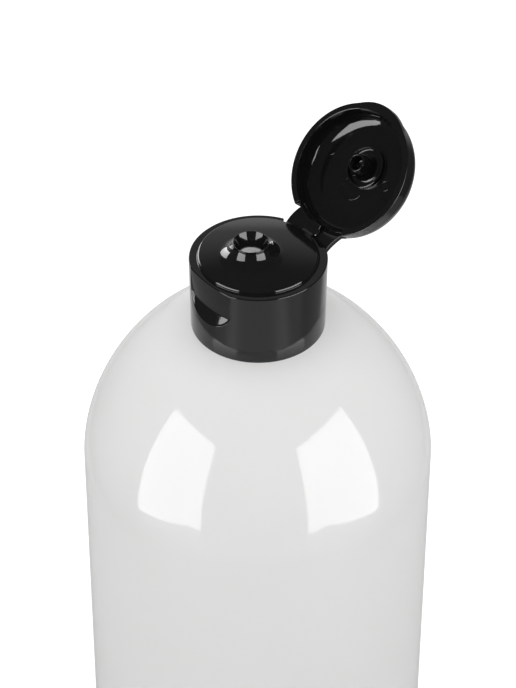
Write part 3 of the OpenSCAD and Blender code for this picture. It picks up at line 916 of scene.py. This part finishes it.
# %% Expression class
class Wire:
    """An output socket of a node tree, which can be used in Python expressions."""

    def __init__(self, tree, socket):
        self.tree = tree
        self.socket = socket

    def node(self, kind, settings=None, **inputs):
        """Adds a node of a type, sets its settings first, then links or fills its sockets by name. Returns
        its first output. A key of the form in_0 names a socket by its number."""
        made = self.tree.nodes.new(kind)
        for key, value in (settings or {}).items():
            setattr(made, key, value)
        for key, value in inputs.items():
            name = key.replace("_", " ")
            socket = made.inputs[int(key[3:])] if key.startswith("in_") else made.inputs[name]
            if isinstance(value, Wire):
                self.tree.links.new(value.socket, socket)
            else:
                socket.default_value = value
        return Wire(self.tree, made.outputs[0])

    def math(self, operation, other):
        return self.node("ShaderNodeMath", {"operation": operation}, in_0=self, in_1=other)

    def dot(self, fixed):
        """Dot product of this vector and a fixed one, which is the length along the fixed one if that is
        one long. Vector Math gives it at its second output."""
        made = self.node("ShaderNodeVectorMath", {"operation": "DOT_PRODUCT"}, in_0=self, in_1=fixed)
        return Wire(self.tree, made.socket.node.outputs["Value"])

    def __add__(self, other):
        return self.math("ADD", other)

    def __mul__(self, other):
        return self.math("MULTIPLY", other)

    def __sub__(self, other):
        return self.math("SUBTRACT", other)

    def __rsub__(self, other):
        return self.node("ShaderNodeMath", {"operation": "SUBTRACT"}, in_0=other, in_1=self)

    __radd__ = __add__
    __rmul__ = __mul__

    def between(self, low, high):
        """0 at low, 1 at high, smooth between them."""
        smooth = {"interpolation_type": "SMOOTHSTEP"}
        return self.node("ShaderNodeMapRange", smooth, Value=self, From_Min=low, From_Max=high)


def empty_material(name):
    """A new material with an empty tree, and a wire of the piece's Object coordinates in metres."""
    material = bpy.data.materials.new(name)
    material.use_nodes = True
    tree = material.node_tree
    tree.nodes.clear()
    return material, Wire(tree, tree.nodes.new("ShaderNodeTexCoord").outputs["Object"])


def finish_with(material, shader, pieces):
    """Sends the shader to the material's output and puts the material on the pieces."""
    tree = material.node_tree
    output = tree.nodes.new("ShaderNodeOutputMaterial")
    tree.links.new(shader.socket, output.inputs["Surface"])
    for piece in pieces:
        piece.data.materials.append(material)
    print(f"{material.name}: {len(tree.nodes)} nodes, on {len(pieces)} piece(s)")


def ray(tree, kind):
    """1 for the rays that Light Path names, such as Is Camera Ray, and 0 for all others."""
    return Wire(tree, tree.nodes.new("ShaderNodeLightPath").outputs[kind])


def grey(value):
    return (value, value, value)


def noise(where, scale, detail=2.0, roughness=0.5):
    """Fractal noise from 0 to 1 at so many waves a metre."""
    return where.node("ShaderNodeTexNoise", Vector=where, Scale=scale, Detail=detail, Roughness=roughness)


def stretched(where, scale):
    """The coordinates scaled by three numbers, which makes a pattern long in one direction."""
    return where.node("ShaderNodeMapping", Vector=where, Scale=scale)


def mixed_colour(factor, first, second):
    """A colour that goes from first to second with a wire from 0 to 1."""
    made = factor.tree.nodes.new("ShaderNodeMix")
    made.data_type = "RGBA"
    factor.tree.links.new(factor.socket, made.inputs["Factor"])
    made.inputs["A"].default_value = (*first, 1)
    made.inputs["B"].default_value = (*second, 1)
    return Wire(factor.tree, made.outputs["Result"])


def bump(height, strength, distance):
    return height.node("ShaderNodeBump", Height=height, Strength=strength, Distance=distance)


# %% [markdown]
# ## Milky polyethylene
#
# The bottle's plastic is white all through and lets part of the light pass, which evens out the shading, as
# in a lamp globe. A share of a translucent shader does that, and it works on both skins of the wall. The
# skin is glossy, because the mould is polished, with faint waves from the blowing, a grain that only dims
# the gloss, and a few hair-fine rubs.

# %% Bottle material
bottle_finish, where = empty_material("milky_polyethylene")
waves = noise(stretched(where, (1, 1, 0.35)), 70, 1.5)
grain = noise(where, 2600, 3.0)
clouds = noise(where, 24, 2.0)
rubs = noise(stretched(where, (1, 1, 0.04)), 900, 2.0, 0.7).between(0.62, 0.8)
colour = mixed_colour(clouds.between(0.3, 0.7), (0.9, 0.9, 0.895), (0.92, 0.92, 0.917))
relief = bump(waves * 0.6 + grain * 0.02, 0.25, 0.0004)
skin = where.node(
    "ShaderNodeBsdfPrincipled",
    Base_Color=colour,
    Roughness=0.045 + grain * 0.02 + rubs * 0.04 + clouds * 0.02,
    IOR=1.5,
    Normal=relief,
)
through = where.node("ShaderNodeBsdfTranslucent", Color=(0.97, 0.97, 0.965, 1), Normal=relief)
shader = where.node("ShaderNodeMixShader", in_0=0.34, in_1=skin, in_2=through)
finish_with(bottle_finish, shader, [bottle])

# %% [markdown]
# ## Black polypropylene
#
# The closure's plastic is black through and through, polished where the hand and the eye meet it. What
# shows is nearly all reflection, so the detail is in the gloss: a soft orange-peel from the mould, a
# slow change of roughness where the plastic flowed, and dust-fine specks.

# %% Closure material
closure_finish, where = empty_material("black_polypropylene")
peel = noise(where, 900, 2.0)
flow = noise(stretched(where, (1, 1, 0.3)), 160, 2.5, 0.6)
specks = noise(where, 5200, 1.0).between(0.66, 0.78)
colour = mixed_colour(flow, (0.0045, 0.0045, 0.0048), (0.007, 0.007, 0.0074))
shader = where.node(
    "ShaderNodeBsdfPrincipled",
    Base_Color=colour,
    Roughness=0.05 + flow * 0.03 + specks * 0.07,
    IOR=1.49,
    Normal=bump(peel * 0.7 + flow * 0.3, 0.09, 0.0001),
)
finish_with(closure_finish, shader, closure + marks)

# %% [markdown]
# ## Foamed sheet
#
# The liner is matt and slightly cellular: small voids darken it a little and roughen its surface.

# %% Liner material
liner_finish, where = empty_material("foamed_sheet")
cells = where.node("ShaderNodeTexVoronoi", {"feature": "F1"}, Vector=where, Scale=3000.0)
fuzz = noise(where, 1500, 3.0)
colour = mixed_colour(cells.between(0.1, 0.7), (0.84, 0.84, 0.83), (0.92, 0.92, 0.91))
shader = where.node(
    "ShaderNodeBsdfPrincipled",
    Base_Color=colour,
    Roughness=0.72 + fuzz * 0.2,
    Normal=bump(cells * 0.6 + fuzz * 0.4, 0.5, 0.0001),
)
finish_with(liner_finish, shader, [liner])

# %% [markdown]
# ## Studio
#
# The photograph was taken from above, between two tall softboxes that stand left and right of the camera.
# The dome shows both, and below them the edge of the white table that the bottle stands on. Past that
# edge the room is dim, and behind the bottle there is a white backdrop. A third soft lamp, high above the
# camera, only fills the shading. Directions count from the camera's own side, in degrees to its right, seen
# from the bottle.

# %% Directions from the camera's side
CAMERA_SIDE = math.radians(-40.5)
camera_place = Vector((338.3, -288.9, LEDGE_Z + 345.67)) * MM
camera_target = Vector((0, 0, LEDGE_Z - 22.665)) * MM


def seen_from_bottle(degrees_right, distance, height):
    """Point at a distance and height, at so many degrees to the right of the camera's direction."""
    a = CAMERA_SIDE + math.radians(degrees_right)
    return Vector((distance * math.cos(a), distance * math.sin(a), height))


to_right = seen_from_bottle(90, 1, 0)
away_from_camera = -seen_from_bottle(0, 1, 0)
print(f"camera {(camera_place - camera_target).length * 1000:.0f} mm from its target")

# %% Table
TABLE_FRONT, TABLE_SIDE, TABLE_BACK = 0.32, 0.27, 0.75
ends = [(TABLE_FRONT, TABLE_SIDE), (-TABLE_BACK, TABLE_SIDE)]
ends += [(out, -side) for out, side in ends[::-1]]
corners = [tuple(seen_from_bottle(0, out, 0) + seen_from_bottle(90, side, 0)) for out, side in ends]
table_mesh = bpy.data.meshes.new("table")
table_mesh.from_pydata(corners, [], [(0, 1, 2, 3)])
table = bpy.data.objects.new("table", table_mesh)
bpy.context.scene.collection.objects.link(table)
table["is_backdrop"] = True

# %% [markdown]
# The table's colour is painted palest round the bottle and darker towards both sides, a painted shade for
# the less light that falls there. The camera sees the near shade everywhere, with a glow added that makes it
# white where no shadow falls. Other rays, such as those of a reflection, see the lit surface with its painted
# shade.

# %% Table material
NEAR_SHADE, FAR_SHADE = 0.66, 0.27
EVEN_TO, DARK_FROM = 0.12, 0.165
GLOW = 0.52
table_finish, where = empty_material("pale_table")
side = where.dot(to_right)
# painted shade: the table's base colour darkens towards both sides, standing in for the less light there
painted_side_shade = mixed_colour((side * side).between(EVEN_TO**2, DARK_FROM**2), grey(NEAR_SHADE), grey(FAR_SHADE))
lit = where.node("ShaderNodeBsdfPrincipled", Base_Color=painted_side_shade, Roughness=0.3)
even = where.node("ShaderNodeBsdfDiffuse", Color=(*grey(NEAR_SHADE), 1))
glowing = where.node("ShaderNodeEmission", Color=(1, 1, 1, 1), Strength=GLOW)
white = where.node("ShaderNodeAddShader", in_0=even, in_1=glowing)
to_camera = ray(where.tree, "Is Camera Ray")
shader = where.node("ShaderNodeMixShader", in_0=to_camera, in_1=lit, in_2=white)
finish_with(table_finish, shader, [table])

# %% Softboxes
BOX_DISTANCE = 0.9
BOX_RADIANCE = 6.5
FILL_RADIANCE = 0.6


def softbox(name, degrees_right, half_degrees, middle, height, radiance=BOX_RADIANCE, aimed_at=None):
    """A rectangular lamp that the camera doesn't see, turned to the bottle's axis, level or at the height
    aimed_at. It reaches half_degrees to both sides of its middle, seen from the bottle. Its power follows
    from its radiance: pi times the radiance times the area."""
    lamp = bpy.data.lights.new(name, "AREA")
    lamp.shape = "RECTANGLE"
    lamp.size = 2 * BOX_DISTANCE * math.tan(math.radians(half_degrees))
    lamp.size_y = height
    lamp.energy = math.pi * radiance * lamp.size * lamp.size_y
    box = bpy.data.objects.new(name, lamp)
    place = seen_from_bottle(degrees_right, BOX_DISTANCE, middle)
    aim = Vector((0, 0, middle if aimed_at is None else aimed_at)) - place
    box.location = place
    box.rotation_mode = "QUATERNION"
    box.rotation_quaternion = aim.to_track_quat("-Z", "Y")
    box.visible_camera = False
    bpy.context.scene.collection.objects.link(box)
    print(f"{name}: {lamp.size:.2f} by {lamp.size_y:.2f} m, {lamp.energy:.1f} W")
    return box


left_box = softbox("softbox_left", -54.5, 21.5, middle=0.185, height=0.98)
right_box = softbox("softbox_right", 54.0, 24.0, middle=0.185, height=0.98)
fill = softbox("front_fill", 0, 26.0, 1.05, 0.9, FILL_RADIANCE, aimed_at=0.12)
left_box.visible_diffuse = False
right_box.visible_diffuse = False
fill.visible_glossy = False

# %% [markdown]
# Two narrow boxes behind the bottle make the small bright patches on the closure. Light linking keeps them
# to it, because the bottle is so glossy that it would show them too.

# %% Accent lights on the closure
accent_left = softbox("accent_left", -142.0, 15.0, middle=0.42, height=0.5)
accent_right = softbox("accent_right", 161.0, 7.0, middle=0.28, height=0.24)
for box, lit_pieces in ((accent_left, [base]), (accent_right, closure)):
    box.visible_diffuse = False
    receivers = bpy.data.collections.new(box.name + "_receivers")
    for piece in lit_pieces:
        receivers.objects.link(piece)
    box.light_linking.receiver_collection = receivers

# %% [markdown]
# Milky plastic carries light sideways inside its wall, under the closure and into the neck, which a shader
# on the surface doesn't follow. Keeping the closure's base out of the diffuse rays lets the same light reach
# the dome beside it and the neck below the spout's hole.

# %% Light round the closure
base.visible_diffuse = False

# %% [markdown]
# The room's soft light comes from all sides, a little stronger from left and right. Camera and transmission
# rays see it as white. In gloss the room is dim, and bright only behind the bottle, where the backdrop is.

# %% World
ROOM, GLEAM, BACKDROP = 0.08, 0.38, 0.5
SOFT, SOFT_SIDES = 0.95, 0.36
world = bpy.data.worlds.new("room")
bpy.context.scene.world = world
world.use_nodes = True
tree = world.node_tree
tree.nodes.clear()
direction = Wire(tree, tree.nodes.new("ShaderNodeTexCoord").outputs["Generated"])
behind = direction.dot(away_from_camera)
beside = direction.dot(to_right)
room = ROOM + behind.between(0.64, 0.9) * GLEAM + behind.between(0.9, 0.96) * BACKDROP
soft = SOFT + beside * beside * SOFT_SIDES
in_gloss = ray(tree, "Is Glossy Ray")
sees_white = ray(tree, "Is Transmission Ray").math("MAXIMUM", ray(tree, "Is Camera Ray"))
level = in_gloss * room + (1 - in_gloss) * soft
level = level * (1 - sees_white) + sees_white
background = direction.node("ShaderNodeBackground", Color=(1, 1, 1, 1), Strength=level)
output = tree.nodes.new("ShaderNodeOutputWorld")
tree.links.new(background.socket, output.inputs["Surface"])
print(f"{world.name}: {len(tree.nodes)} nodes")

# %% [markdown]
# ## Camera
#
# The camera stands nearly 0.6 m away and looks down by 40 degrees. Its focal length follows from the
# picture's own size: 2805 pixels of a frame that is 688 pixels high, on a sensor whose long side is 36 mm.

# %% Camera
PICTURE_H = 688
FOCAL_PX = 2805.0
SENSOR = 36.0
ROLL = math.radians(0.178)
camera_data = bpy.data.cameras.new("camera")
camera_data.sensor_width = SENSOR
camera_data.lens = SENSOR * FOCAL_PX / PICTURE_H
camera_data.clip_start, camera_data.clip_end = 0.01, 20.0
print(f"lens {camera_data.lens:.1f} mm")
camera = bpy.data.objects.new("camera", camera_data)
camera.location = camera_place
look = (camera_target - camera_place).to_track_quat("-Z", "Y")
camera.rotation_mode = "QUATERNION"
camera.rotation_quaternion = look @ Matrix.Rotation(ROLL, 4, "Z").to_quaternion()
bpy.context.scene.collection.objects.link(camera)
bpy.context.scene.camera = camera
bpy.context.scene.view_settings.view_transform = "Standard"

# %% Compare the boxes and finish
seen_low, seen_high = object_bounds()
pairs = zip((*cad_low, *cad_high), (*seen_low, *seen_high))
print(f"largest difference: {max(abs(a - b) for a, b in pairs) / MM:.3f} mm")
